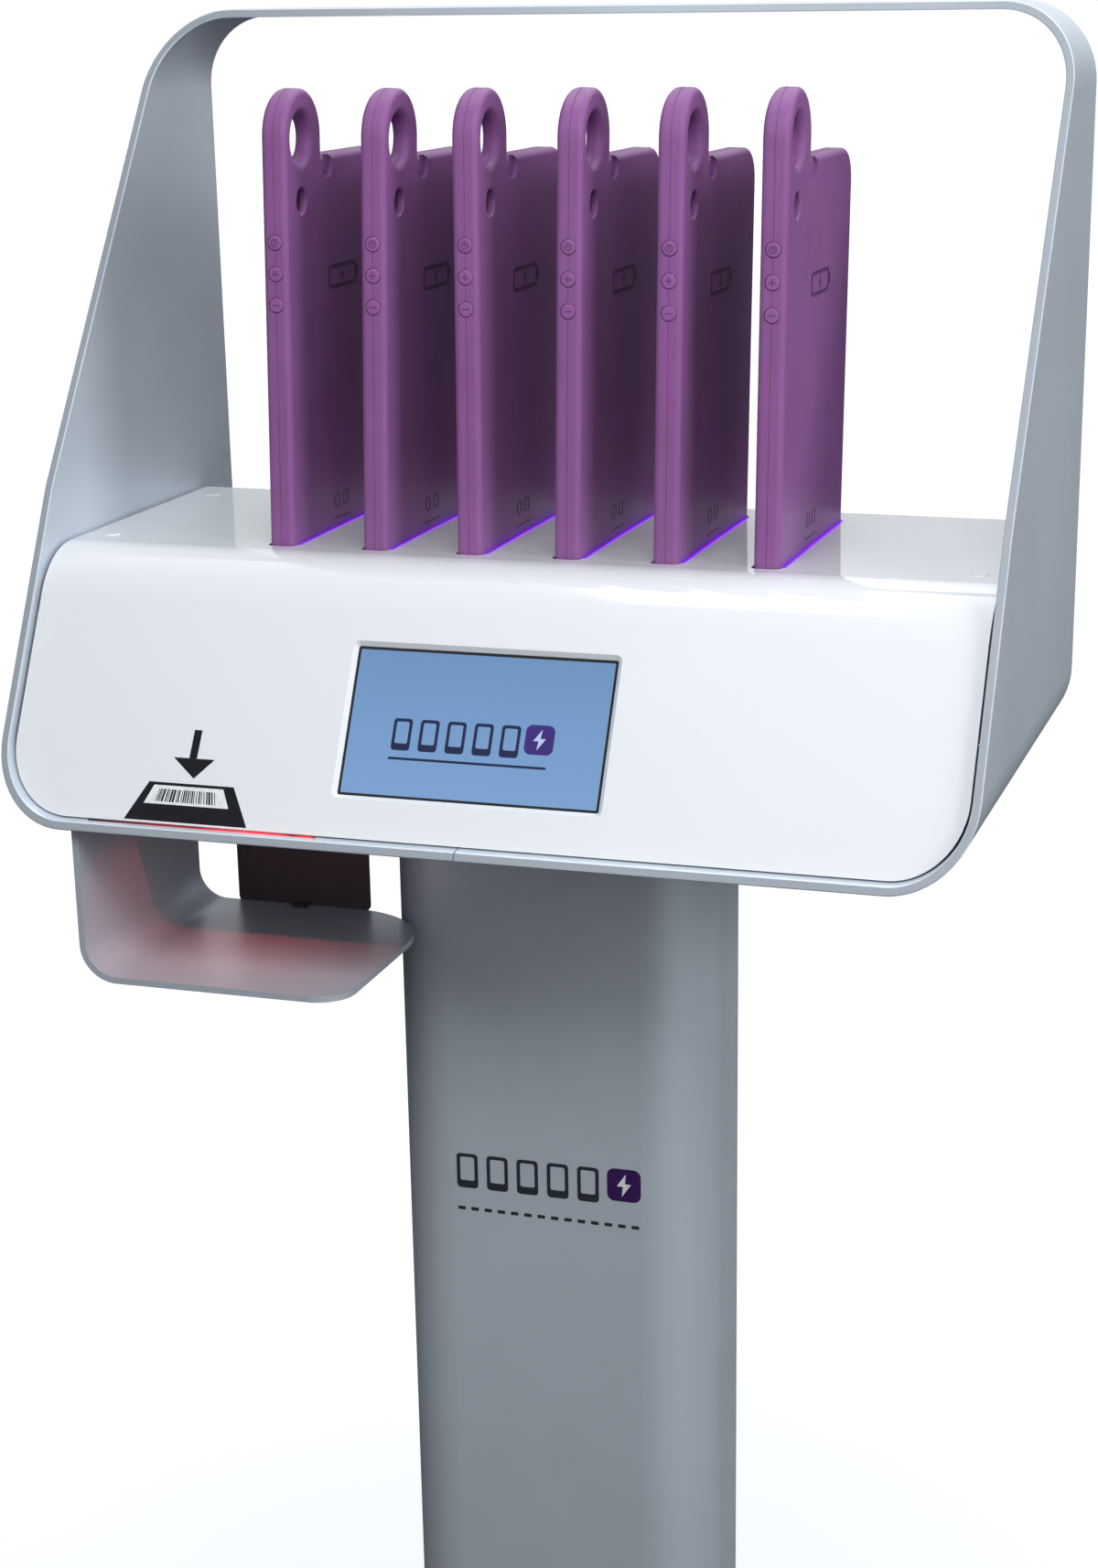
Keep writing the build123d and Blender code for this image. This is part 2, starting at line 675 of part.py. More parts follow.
with BuildPart() as tray_back_plate:
    with BuildSketch(Plane.XZ.offset(-tray_back_y)):
        with Locations((plate_x, head_base_z)):
            Rectangle(plate_width, plate_drop, align=(Align.CENTER, Align.MAX))
    extrude(amount=-plate_sheet)
    fillet(tray_back_plate.edges().filter_by(Axis.Y).group_by(Axis.Z)[0], plate_corner)
    with BuildSketch(Plane.XY.offset(tray_floor_z)):
        with Locations((plate_x, tray_back_y)):
            Rectangle(foot_tab[0], foot_tab[1], align=(Align.CENTER, Align.MAX))
    extrude(amount=foot_tab[2])
    with BuildSketch(Plane.XY.offset(head_base_z)):
        with Locations((plate_x, tray_back_y)):
            Rectangle(plate_width, 24, align=(Align.CENTER, Align.MIN))
        with Locations(*plate_flange_holes):
            Circle(2.2, mode=Mode.SUBTRACT)
    extrude(amount=-plate_sheet)
tray_back_plate.part.label = "tray_back_plate"
export_step(tray_back_plate.part, "parts/tray_back_plate.step")

with BuildPart() as tray_screws:
    for places, sheet in ((tray_flange_holes, tray_sheet), (plate_flange_holes, plate_sheet)):
        with BuildSketch(Plane.XY.offset(head_base_z - sheet)):
            with Locations(*places):
                Circle(3.6)
        extrude(amount=-2.2)
        with BuildSketch(Plane.XY.offset(head_base_z - sheet)):
            with Locations(*places):
                Circle(2)
        extrude(amount=sheet + band_sheet)
tray_screws.part.label = "tray_screws"
export_step(tray_screws.part, "parts/tray_screws.step")

# ---- one tablet in its case, modelled upright in the plane X = 0 ----------------------------------------------
case_back_y = case_front_y + case_width
handle_radius = handle_width / 2
handle_centre = (case_front_y + handle_radius, handle_top_z - handle_radius)
cavity_gap = 0.3
loop_foot_z = tablet_base_z + tablet_size[2] + 6
screen_side_x = -case_thick / 2

with BuildSketch(Plane.YZ) as case_profile:
    with BuildLine():
        foot_front = (case_front_y, case_base_z + case_foot_radius)
        foot_back = (case_back_y - case_foot_radius, case_base_z)
        loop_front = (case_front_y, handle_centre[1])
        loop_back = (case_front_y + handle_width, handle_centre[1])
        loop_root = (case_front_y + handle_width, case_top_z)
        corner_start = (case_back_y - case_back_radius, case_top_z)
        corner_end = (case_back_y, case_top_z - case_back_radius)
        Line(foot_front, loop_front)
        ThreePointArc(loop_front, (handle_centre[0], handle_top_z), loop_back)
        Line(loop_back, loop_root)
        Line(loop_root, corner_start)
        RadiusArc(corner_start, corner_end, case_back_radius)
        Line(corner_end, (case_back_y, case_base_z + case_foot_radius))
        RadiusArc((case_back_y, case_base_z + case_foot_radius), foot_back, case_foot_radius)
        Line(foot_back, (case_front_y + case_foot_radius, case_base_z))
        RadiusArc((case_front_y + case_foot_radius, case_base_z), foot_front, case_foot_radius)
    make_face()
    with Locations(finger_hole_place):
        Circle(finger_hole_radius, mode=Mode.SUBTRACT)

with BuildPart() as upright_case:
    with BuildSketch(Plane.YZ.offset(screen_side_x)):
        add(case_profile.sketch_local)
    extrude(amount=case_thick)
    fillet(upright_case.faces().sort_by(Axis.X)[-1].inner_wires().edges(), finger_hole_round)
    fillet(upright_case.faces().sort_by(Axis.X)[-1].outer_wire().edges(), case_edge_round)
    fillet(upright_case.faces().sort_by(Axis.X)[0].outer_wire().edges(), case_edge_round)
    # the loop is planed down on the screen side, from nothing at its front to loop_thinned at its back
    with BuildSketch(Plane.XY.offset(loop_foot_z)):
        with BuildLine():
            Polyline(
                (screen_side_x, case_front_y + case_edge_round),
                (screen_side_x + loop_thinned, finger_hole_place[0] + finger_hole_radius - 2),
                (screen_side_x + loop_thinned, case_front_y + handle_width),
                (screen_side_x, case_front_y + handle_width),
                close=True,
            )
        make_face()
    extrude(amount=handle_top_z - loop_foot_z, mode=Mode.SUBTRACT)
    planed_faces = upright_case.faces().filter_by(
        lambda f: f.normal_at().X < -0.9 and f.center().Z > loop_foot_z
    )
    planed_rim = planed_faces.edges().filter_by(GeomType.LINE, reverse=True)
    fillet(planed_rim, planed_edge_round)
    # pocket for the tablet, open to the screen side through a narrower lip
    with BuildSketch(Plane.YZ.offset(tablet_back)):
        with Locations((case_middle_y, tablet_base_z - cavity_gap)):
            Rectangle(
                tablet_size[1] + 2 * cavity_gap,
                tablet_size[2] + 2 * cavity_gap,
                align=(Align.CENTER, Align.MIN),
            )
    extrude(amount=-(tablet_size[0] + cavity_gap), mode=Mode.SUBTRACT)
    with BuildSketch(Plane.YZ.offset(screen_side_x)):
        with Locations((case_middle_y, tablet_base_z + screen_border)):
            Rectangle(
                tablet_size[1] - 2 * screen_border,
                tablet_size[2] - 2 * screen_border,
                align=(Align.CENTER, Align.MIN),
            )
    extrude(amount=case_thick / 2 + tablet_back - tablet_size[0], mode=Mode.SUBTRACT)
    # camera window, strap notch and strap hole in the back
    with BuildSketch(Plane.YZ.offset(case_thick / 2)):
        with Locations(camera_place):
            Circle(camera_window_radius)
    extrude(amount=-(case_thick / 2 - tablet_back), mode=Mode.SUBTRACT)
    window_rim = upright_case.edges().filter_by(
        lambda e: e.geom_type == GeomType.CIRCLE and abs(e.radius - camera_window_radius) < 0.01
    )
    fillet(window_rim.sort_by(Axis.X)[-1], camera_window_round)
    with BuildSketch(Plane.YZ.offset(case_thick / 2)) as notch_sketch:
        with Locations((case_front_y + handle_width, case_top_z)):
            Rectangle(strap_notch[0], strap_notch[1], align=(Align.MIN, Align.MAX))
        fillet(notch_sketch.vertices().group_by(Axis.Z)[0], strap_notch[0] * 0.4)
    extrude(amount=-strap_notch[2], mode=Mode.SUBTRACT)
    with BuildSketch(Plane.YZ.offset(case_thick / 2)):
        with Locations(strap_hole[:2]):
            Circle(strap_hole[2])
    extrude(amount=-(case_thick / 2 - tablet_back), mode=Mode.SUBTRACT)
    # socket opening in the foot, blind pockets for the three buttons in the front edge
    with BuildSketch(Plane.XY.offset(case_base_z)):
        with Locations((contact_shift, case_middle_y)):
            RectangleRounded(6, 12, 2)
    extrude(amount=tablet_base_z - case_base_z, mode=Mode.SUBTRACT)
    with BuildSketch(Plane.XZ.offset(-case_front_y)):
        with Locations(*[(0, head_base_z + z) for z in button_heights.values()]):
            Circle(button_radius + button_gap)
    extrude(amount=-button_pocket, mode=Mode.SUBTRACT)
    with BuildSketch(Plane.YZ.offset(-groove_width / 2)):
        add(case_profile.sketch_local)
        offset(case_profile.sketch_local, amount=-groove_depth, mode=Mode.SUBTRACT)
    extrude(amount=groove_width, mode=Mode.SUBTRACT)

with BuildPart() as upright_tablet:
    with BuildSketch(Plane.YZ.offset(tablet_back)):
        with Locations((case_middle_y, tablet_base_z + tablet_size[2] / 2)):
            RectangleRounded(tablet_size[1], tablet_size[2], 7)
    extrude(amount=-tablet_size[0])
    with BuildSketch(Plane.YZ.offset(tablet_back)):
        with Locations(camera_place):
            Circle(4.5)
    extrude(amount=1)
    with BuildSketch(Plane.XY.offset(tablet_base_z)):
        with Locations((contact_shift, case_middle_y)):
            RectangleRounded(4, 9.6, 1.9)
    extrude(amount=8, mode=Mode.SUBTRACT)

# ---- six leaning copies, each with three sprung buttons --------------------------------------------------------
for bay, (bay_x, bay_lean) in enumerate(zip(bay_xs, bay_leans), start=1):
    bay_place = Location((bay_x, 0, bay_pivot_z), (0, bay_lean, 0)) * Location((0, 0, -bay_pivot_z))
    with BuildPart() as case:
        with Locations(bay_place):
            add(upright_case.part)
    case.part.label = f"case_{bay}"
    export_step(case.part, f"parts/case_{bay}.step")

    with BuildPart() as tablet:
        with Locations(bay_place):
            add(upright_tablet.part)
    tablet.part.label = f"tablet_{bay}"
    export_step(tablet.part, f"parts/tablet_{bay}.step")

    for button_name, button_height in button_heights.items():
        with BuildPart() as upright_button:
            with BuildSketch(Plane.XZ.offset(-(case_front_y - button_proud))):
                with Locations((0, head_base_z + button_height)):
                    Circle(button_radius)
            extrude(amount=-button_length)
            fillet(upright_button.faces().sort_by(Axis.Y)[0].edges(), 0.9)
        with BuildPart() as button:
            with Locations(bay_place):
                add(upright_button.part)
        button.part.label = f"{button_name}_button_{bay}"
        export_step(button.part, f"parts/{button_name}_button_{bay}.step")
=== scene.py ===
import json
import math
import random

import bmesh
import bpy
from mathutils import Matrix, Vector


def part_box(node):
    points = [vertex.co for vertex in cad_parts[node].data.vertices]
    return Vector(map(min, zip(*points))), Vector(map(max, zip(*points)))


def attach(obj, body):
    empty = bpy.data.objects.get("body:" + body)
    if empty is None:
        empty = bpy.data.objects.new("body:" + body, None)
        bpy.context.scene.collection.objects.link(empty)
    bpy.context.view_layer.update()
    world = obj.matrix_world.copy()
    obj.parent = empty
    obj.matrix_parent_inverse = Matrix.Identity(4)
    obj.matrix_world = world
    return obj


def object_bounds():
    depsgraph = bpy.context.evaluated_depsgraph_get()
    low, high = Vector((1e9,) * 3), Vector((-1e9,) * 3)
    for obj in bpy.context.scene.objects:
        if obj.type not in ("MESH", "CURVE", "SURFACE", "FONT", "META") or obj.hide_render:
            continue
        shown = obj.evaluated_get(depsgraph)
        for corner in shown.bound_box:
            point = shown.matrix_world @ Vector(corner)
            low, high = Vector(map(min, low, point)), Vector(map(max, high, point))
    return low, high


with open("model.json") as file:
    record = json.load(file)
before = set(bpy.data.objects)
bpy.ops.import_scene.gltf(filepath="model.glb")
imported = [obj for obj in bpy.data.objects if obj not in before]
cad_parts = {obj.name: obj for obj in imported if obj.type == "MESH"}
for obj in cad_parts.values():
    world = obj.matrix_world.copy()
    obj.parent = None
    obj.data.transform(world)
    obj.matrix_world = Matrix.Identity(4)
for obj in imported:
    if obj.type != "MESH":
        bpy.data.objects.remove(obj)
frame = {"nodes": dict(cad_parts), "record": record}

cad_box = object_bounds()
nodes = frame["nodes"]
joint_axes = {joint["name"]: joint["axis"] for joint in frame["record"]["behaviour"]["joints"]}
bays = range(1, 7)
mm = 0.001

# The head's sloping front starts at its lip, at the foot of the band.
head_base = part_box("frame_band")[0].z
LIP_Y = -213 * mm  # before its edges were eased
lip_foot = Vector((0, LIP_Y, head_base))
SLOPE_LEAN = 102.5 / 185.6  # how far the slope runs back, over how far it rises
slope_length = math.hypot(1, SLOPE_LEAN)
slope_up = Vector((0, SLOPE_LEAN, 1)) / slope_length
slope_out = Vector((0, -1, SLOPE_LEAN)) / slope_length

# ---- camera: a standing visitor, right of the kiosk, looking down at the head --------------------
CAMERA_PLACE = Vector((0.5381, -1.6541, 1.5503))
CAMERA_RIGHT = Vector((0.95362, 0.30071, -0.01327))
CAMERA_FORWARD = Vector((-0.28928, 0.90342, -0.31648))
CAMERA_LENS = 65.18  # mm, on a sensor 36 mm wide
CAMERA_SHIFT = (-0.02135, 0.09387)


def make_camera():
    data = bpy.data.cameras.new("camera")
    camera = bpy.data.objects.new("camera", data)
    bpy.context.scene.collection.objects.link(camera)
    data.lens = CAMERA_LENS
    data.sensor_width = 36
    data.shift_x, data.shift_y = CAMERA_SHIFT
    forward = CAMERA_FORWARD.normalized()
    right = (CAMERA_RIGHT - forward * CAMERA_RIGHT.dot(forward)).normalized()
    up = right.cross(forward)
    turn = Matrix((right, up, -forward)).transposed()
    camera.matrix_world = Matrix.Translation(CAMERA_PLACE) @ turn.to_4x4()
    bpy.context.scene.camera = camera


make_camera()


# ---- studio: broad soft boxes, given as lobes of a white-balanced sky ----------------------------
STUDIO_WHITE = (0.955, 0.98, 1.0)
LOBES = (
    # degrees to the right of the front, degrees above the horizon, brightness, sharpness
    (0, 35, 0.1, 6),
    (45, 15, 0.5, 6),
    (-50, 20, 0.6, 6),
    (135, 40, 0.8, 6),
    (180, 55, 2.2, 6),
    (-162, 18, 0.55, 20),
)


def studio_world():
    """The sum of the lobes lights the kiosk; the camera itself sees a plain white backdrop."""
    world = bpy.data.worlds.new("studio")
    bpy.context.scene.world = world
    world.use_nodes = True
    tree = world.node_tree
    lit = tree.nodes["Background"]
    lit.inputs["Color"].default_value = (*STUDIO_WHITE, 1)
    place = tree.nodes.new("ShaderNodeTexCoord")

    def math_node(operation, first, second, clamp=False):
        node = tree.nodes.new("ShaderNodeMath")
        node.operation = operation
        node.use_clamp = clamp
        tree.links.new(first, node.inputs[0])
        if isinstance(second, (int, float)):
            node.inputs[1].default_value = second
        else:
            tree.links.new(second, node.inputs[1])
        return node.outputs["Value"]

    total = None
    for turn, height, brightness, sharpness in LOBES:
        turn, height = math.radians(turn), math.radians(height)
        facing = tree.nodes.new("ShaderNodeVectorMath")
        facing.operation = "DOT_PRODUCT"
        flat = math.cos(height)
        middle = (math.sin(turn) * flat, -math.cos(turn) * flat, math.sin(height))
        facing.inputs[1].default_value = middle
        tree.links.new(place.outputs["Generated"], facing.inputs[0])
        ahead = math_node("MULTIPLY", facing.outputs["Value"], 1.0, clamp=True)  # no light from behind
        lobe = math_node("MULTIPLY", math_node("POWER", ahead, sharpness), brightness)
        total = math_node("ADD", lobe, total) if total else lobe
    tree.links.new(total, lit.inputs["Strength"])
    plain = tree.nodes.new("ShaderNodeBackground")
    plain.inputs["Color"].default_value = (1, 1, 1, 1)
    rays = tree.nodes.new("ShaderNodeLightPath")
    choose = tree.nodes.new("ShaderNodeMixShader")
    tree.links.new(rays.outputs["Is Camera Ray"], choose.inputs["Fac"])
    tree.links.new(lit.outputs["Background"], choose.inputs[1])
    tree.links.new(plain.outputs["Background"], choose.inputs[2])
    tree.links.new(choose.outputs["Shader"], tree.nodes["World Output"].inputs["Surface"])


def set_stops(ramp, stops):
    """Gives a colour ramp its (place, colour) stops."""
    elements = ramp.color_ramp.elements
    while len(elements) < len(stops):
        elements.new(0.5)
    for element, (position, color) in zip(elements, stops):
        element.position = position
        element.color = (*color, 1)


def area_light(name, place, target, size, power, color=STUDIO_WHITE, mirrored=False):
    """A soft box that lights surfaces, or one that is only seen mirrored in them."""
    data = bpy.data.lights.new(name, "AREA")
    data.shape = "RECTANGLE"
    data.size, data.size_y = size
    data.energy = power
    data.color = color
    light = bpy.data.objects.new(name, data)
    bpy.context.scene.collection.objects.link(light)
    light.visible_glossy = mirrored
    light.visible_diffuse = not mirrored
    light.location = place
    light.rotation_euler = (Vector(target) - Vector(place)).to_track_quat("-Z", "Y").to_euler()


bpy.context.scene.view_settings.view_transform = "Standard"
studio_world()
area_light("front_box", (0.2, -0.95, 2.05), (0, 0, 1.2), (1.0, 0.5), 10.4)
area_light("right_box", (2.0, -0.8, 1.75), (0, 0, 1.2), (0.9, 1.2), 22)
area_light("ceiling_panel", (-0.35, -0.02, 3.1), (-0.1, 0, 1.2), (1.1, 0.35), 5, mirrored=True)


# ---- shader helpers: bump heights are in metres --------------------------------------------------
EVEN = (1, 1, 1)


def new_material(name, color, roughness, metallic=0.0):
    """A Principled material: what is the same all over sits on the shader's own sockets."""
    material = bpy.data.materials.new(name)
    material.use_nodes = True
    tree = material.node_tree
    bsdf = tree.nodes["Principled BSDF"]
    bsdf.inputs["Base Color"].default_value = (*color, 1)
    bsdf.inputs["Roughness"].default_value = roughness
    bsdf.inputs["Metallic"].default_value = metallic
    return material, tree, bsdf


def noise(tree, scale, detail=4.0, stretch=EVEN):
    """Noise in the object's own metres; scale is features per metre."""
    place = tree.nodes.new("ShaderNodeTexCoord")
    mapping = tree.nodes.new("ShaderNodeMapping")
    mapping.inputs["Scale"].default_value = stretch
    texture = tree.nodes.new("ShaderNodeTexNoise")
    texture.inputs["Scale"].default_value = scale
    texture.inputs["Detail"].default_value = detail
    tree.links.new(place.outputs["Object"], mapping.inputs["Vector"])
    tree.links.new(mapping.outputs["Vector"], texture.inputs["Vector"])
    return texture.outputs["Fac"]


def mottle(tree, bsdf, color, spread, scale):
    """Lets the base colour drift a little lighter and darker."""
    ramp = tree.nodes.new("ShaderNodeValToRGB")
    ramp.color_ramp.elements[0].position = 0.3
    ramp.color_ramp.elements[1].position = 0.7
    ramp.color_ramp.elements[0].color = (*[c * (1 - spread) for c in color], 1)
    ramp.color_ramp.elements[1].color = (*[min(1, c * (1 + spread)) for c in color], 1)
    tree.links.new(noise(tree, scale), ramp.inputs["Fac"])
    tree.links.new(ramp.outputs["Color"], bsdf.inputs["Base Color"])


def vary_roughness(tree, bsdf, low, high, scale, stretch=EVEN):
    """Smears and rubbed patches."""
    span = tree.nodes.new("ShaderNodeMapRange")
    span.inputs["From Min"].default_value = 0.3
    span.inputs["From Max"].default_value = 0.7
    span.inputs["To Min"].default_value = low
    span.inputs["To Max"].default_value = high
    tree.links.new(noise(tree, scale, 6.0, stretch), span.inputs["Value"])
    tree.links.new(span.outputs["Result"], bsdf.inputs["Roughness"])


def bumps(tree, bsdf, *layers):
    """Stacks bump layers, each (scale, height, stretch)."""
    last = None
    for scale, height, stretch in layers:
        bump = tree.nodes.new("ShaderNodeBump")
        bump.inputs["Strength"].default_value = 1.0
        bump.inputs["Distance"].default_value = height
        tree.links.new(noise(tree, scale, 3.0, stretch), bump.inputs["Height"])
        if last:
            tree.links.new(last.outputs["Normal"], bump.inputs["Normal"])
        last = bump
    tree.links.new(last.outputs["Normal"], bsdf.inputs["Normal"])


def paint_shade_facing(material, facing, share):
    """Paints shade into the base colour of the surfaces that face one way: they are multiplied darker.
    """
    tree = material.node_tree
    bsdf = tree.nodes["Principled BSDF"]
    painted = bsdf.inputs["Base Color"].links[0].from_socket
    surface = tree.nodes.new("ShaderNodeNewGeometry")
    towards = tree.nodes.new("ShaderNodeVectorMath")
    towards.operation = "DOT_PRODUCT"
    towards.inputs[1].default_value = facing
    span = tree.nodes.new("ShaderNodeMapRange")
    span.inputs["From Min"].default_value = 0.95
    span.inputs["From Max"].default_value = 0.99
    darker = tree.nodes.new("ShaderNodeMix")
    darker.data_type = "RGBA"
    darker.blend_type = "MULTIPLY"  # its sockets 0, 6 and 7 are the factor and the two colours
    darker.inputs[7].default_value = (share, share, share, 1)
    tree.links.new(surface.outputs["Normal"], towards.inputs[0])
    tree.links.new(towards.outputs["Value"], span.inputs["Value"])
    tree.links.new(span.outputs["Result"], darker.inputs[0])
    tree.links.new(painted, darker.inputs[6])
    tree.links.new(darker.outputs[2], bsdf.inputs["Base Color"])


def powder_coat(name, color, metallic=0.35, rough=(0.36, 0.46)):
    material, tree, bsdf = new_material(name, color, rough[0], metallic=metallic)
    mottle(tree, bsdf, color, 0.035, 9)
    vary_roughness(tree, bsdf, rough[0], rough[1], 7)
    bumps(tree, bsdf, (900, 0.000035, EVEN), (2600, 0.00001, EVEN))
    return material


def gloss_white():
    color = (0.82, 0.845, 0.87)
    material, tree, bsdf = new_material("gloss_white", color, 0.09)
    bsdf.inputs["Coat Weight"].default_value = 0.6
    bsdf.inputs["Coat Roughness"].default_value = 0.03
    mottle(tree, bsdf, color, 0.008, 5)
    vary_roughness(tree, bsdf, 0.07, 0.13, 6)
    bumps(tree, bsdf, (14, 0.00006, EVEN), (700, 0.000002, EVEN))
    return material


def rubber(name, color):
    material, tree, bsdf = new_material(name, color, 0.5)
    bsdf.inputs["Specular IOR Level"].default_value = 0.32
    mottle(tree, bsdf, color, 0.06, 22)
    vary_roughness(tree, bsdf, 0.36, 0.5, 16)
    bumps(tree, bsdf, (1500, 0.00004, EVEN), (60, 0.00005, EVEN))
    return material


def moulded(name, color, roughness=0.5):
    material, tree, bsdf = new_material(name, color, roughness)
    mottle(tree, bsdf, color, 0.08, 40)
    vary_roughness(tree, bsdf, roughness - 0.06, roughness + 0.06, 30)
    bumps(tree, bsdf, (1400, 0.00003, EVEN))
    return material


def sheet_metal(name, color, stretch=(1, 1, 14), rough=(0.24, 0.4)):
    material, tree, bsdf = new_material(name, color, rough[0], metallic=1.0)
    mottle(tree, bsdf, color, 0.06, 12)
    vary_roughness(tree, bsdf, rough[0], rough[1], 90, stretch)
    bumps(tree, bsdf, (300, 0.000015, stretch))
    return material


def glass_black(name, color=(0.006, 0.006, 0.008), roughness=0.05):
    material, tree, bsdf = new_material(name, color, roughness)
    bsdf.inputs["Coat Weight"].default_value = 1.0
    bsdf.inputs["Coat Roughness"].default_value = 0.02
    mottle(tree, bsdf, color, 0.1, 8)
    vary_roughness(tree, bsdf, roughness, roughness + 0.05, 18)
    return material


def circuit(name):
    color = (0.012, 0.07, 0.03)
    material, tree, bsdf = new_material(name, color, 0.35)
    mottle(tree, bsdf, color, 0.5, 220)
    bumps(tree, bsdf, (500, 0.00004, EVEN))
    return material


def glow(name, stops, strength, axis, low, high):
    """A lit surface whose colour follows the stops along one axis of the frame."""
    material, tree, bsdf = new_material(name, (0.02, 0.02, 0.02), 0.12)
    bsdf.inputs["Emission Strength"].default_value = strength
    bsdf.inputs["Specular IOR Level"].default_value = 0.12
    place = tree.nodes.new("ShaderNodeTexCoord")
    parts = tree.nodes.new("ShaderNodeSeparateXYZ")
    span = tree.nodes.new("ShaderNodeMapRange")
    span.inputs["From Min"].default_value = low
    span.inputs["From Max"].default_value = high
    ramp = tree.nodes.new("ShaderNodeValToRGB")
    set_stops(ramp, stops)
    tree.links.new(place.outputs["Object"], parts.inputs["Vector"])
    tree.links.new(parts.outputs["XYZ".index(axis)], span.inputs["Value"])
    tree.links.new(span.outputs["Result"], ramp.inputs["Fac"])
    tree.links.new(ramp.outputs["Color"], bsdf.inputs["Emission Color"])
    vary_roughness(tree, bsdf, 0.08, 0.2, 40)
    bumps(tree, bsdf, (160, 0.000004, EVEN))
    return material


def clear_red(name):
    color = (0.75, 0.03, 0.03)
    material, tree, bsdf = new_material(name, color, 0.08)
    bsdf.inputs["Alpha"].default_value = 0.45
    mottle(tree, bsdf, color, 0.1, 60)
    return material


def print_ink(name, color, roughness=0.45):
    material, tree, bsdf = new_material(name, color, roughness)
    bsdf.inputs["Specular IOR Level"].default_value = 0.2
    mottle(tree, bsdf, color, 0.12, 300)
    vary_roughness(tree, bsdf, roughness - 0.05, roughness + 0.08, 120)
    bumps(tree, bsdf, (1800, 0.000004, EVEN))
    return material


# ---- finishes ------------------------------------------------------------------------------------
SILVER = (0.69, 0.76, 0.85)
silver = powder_coat("silver_coat", SILVER)
band_silver_painted_shade = powder_coat("band_silver_painted_shade", SILVER)
# painted shade: the band's sheet edges that face out along the slope get a darker base colour
paint_shade_facing(band_silver_painted_shade, slope_out, 0.62)
purple = rubber("purple_rubber", (0.262, 0.1, 0.288))
purple_button = rubber("purple_button", (0.282, 0.11, 0.31))
# painted shade: a darker copy of the case rubber for the raised mark, standing in for its relief's
# shading
purple_mark_painted_shade = rubber("purple_mark_painted_shade", (0.105, 0.038, 0.125))
# painted shade: a darker copy of the button rubber for the raised symbols, standing in for their
# relief's shading
purple_symbol_painted_shade = rubber("purple_symbol_painted_shade", (0.15, 0.055, 0.175))
dark_mark = print_ink("dark_mark", (0.012, 0.013, 0.018))
ink_grey = print_ink("ink_grey", (0.03, 0.034, 0.045))
ink_violet = print_ink("ink_violet", (0.045, 0.012, 0.10))
label_white = print_ink("label_white", (0.82, 0.83, 0.84), 0.5)
zinc = sheet_metal("zinc_plate", (0.55, 0.55, 0.52), EVEN)
black_plastic = moulded("black_plastic", (0.012, 0.012, 0.013))
# painted shade: a near-black finish for the strip that stands in for the shadow in the cover's joint
painted_shade_black = moulded("painted_shade_black", (0.016, 0.016, 0.018), 0.6)
tablet_glass = glass_black("tablet_glass")
tablet_screen = glass_black("tablet_screen", (0.012, 0.014, 0.02), 0.03)
led_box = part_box("slot_light_guides")
VIOLET = ((0, (0.16, 0.01, 0.8)), (0.5, (0.26, 0.02, 1.0)), (1, (0.2, 0.01, 0.9)))

FINISHES = {
    band_silver_painted_shade: ["frame_band"],
    silver: ["column_tube"],
    # painted shade: a darker copy of the silver coat for the tray, which sits in the head's shade
    powder_coat("tray_coat_painted_shade", (0.52, 0.56, 0.625), 0.2, (0.3, 0.4)): ["scanner_tray"],
    powder_coat("base_coat", (0.62, 0.68, 0.76)): ["base_plate"],
    gloss_white(): ["deck_cover", "deck_screw_caps"],
    powder_coat("rear_coat", (0.70, 0.72, 0.74), 0.0): ["rear_cover"],
    powder_coat("dark_coat", (0.075, 0.05, 0.058), 0.1, (0.3, 0.42)): ["tray_back_plate"],
    zinc: [
        "base_flange", "base_bolts", "head_flange", "head_bolts", "deck_screws", "deck_rails",
        "rear_screws", "tray_screws",
    ],
    sheet_metal("galvanised", (0.6, 0.61, 0.62), EVEN): ["dock_chassis", "display_pan"],
    black_plastic: ["dock_guides", "dock_contacts", "scanner_module", "usb_hub", "cable_gland"],
    glow("violet_light", VIOLET, 1.6, "Y", led_box[0].y, led_box[1].y): ["slot_light_guides"],
    circuit("solder_mask"): ["dock_board", "main_board"],
    sheet_metal("supply_cage", (0.5, 0.51, 0.52)): ["power_supply"],
    glass_black("display_border"): ["display_glass"],
    moulded("display_shell", (0.02, 0.02, 0.022)): ["display_module"],
    clear_red("scanner_glass"): ["scanner_window"],
    purple: [f"case_{i}" for i in bays],
    purple_button: [
        f"{kind}_button_{i}" for kind in ("power", "volume_up", "volume_down") for i in bays
    ],
    glass_black("tablet_shell", (0.012, 0.012, 0.014), 0.25): [f"tablet_{i}" for i in bays],
}

for finish, names in FINISHES.items():
    for name in names:
        nodes[name].data.materials.clear()
        nodes[name].data.materials.append(finish)


# ---- outlines in millimetres, and how they become thin closed pieces -----------------------------
def rounded_box(x, y, width, height, radius, steps=6):
    """A box centred on x, y, each corner an arc of so many steps."""
    points = []
    for corner in range(4):
        side_x = 1 if corner in (0, 3) else -1
        side_y = 1 if corner in (0, 1) else -1
        middle = (x + side_x * (width / 2 - radius), y + side_y * (height / 2 - radius))
        for step in range(steps + 1):
            angle = math.pi / 2 * (corner + step / steps)
            along, across = radius * math.cos(angle), radius * math.sin(angle)
            points.append((middle[0] + along, middle[1] + across))
    return points


def disc(x, y, radius, steps=48):
    turns = [2 * math.pi * i / steps for i in range(steps)]
    return [(x + radius * math.cos(t), y + radius * math.sin(t)) for t in turns]


def bolt_shape(x, y, size):
    """A charging bolt, ten units high, centred on x, y."""
    corners = [(0.9, 5), (-3, -0.6), (-0.4, -0.6), (-0.9, -5), (3, 0.6), (0.4, 0.6)]
    return [(x + u * size, y + v * size) for u, v in corners]


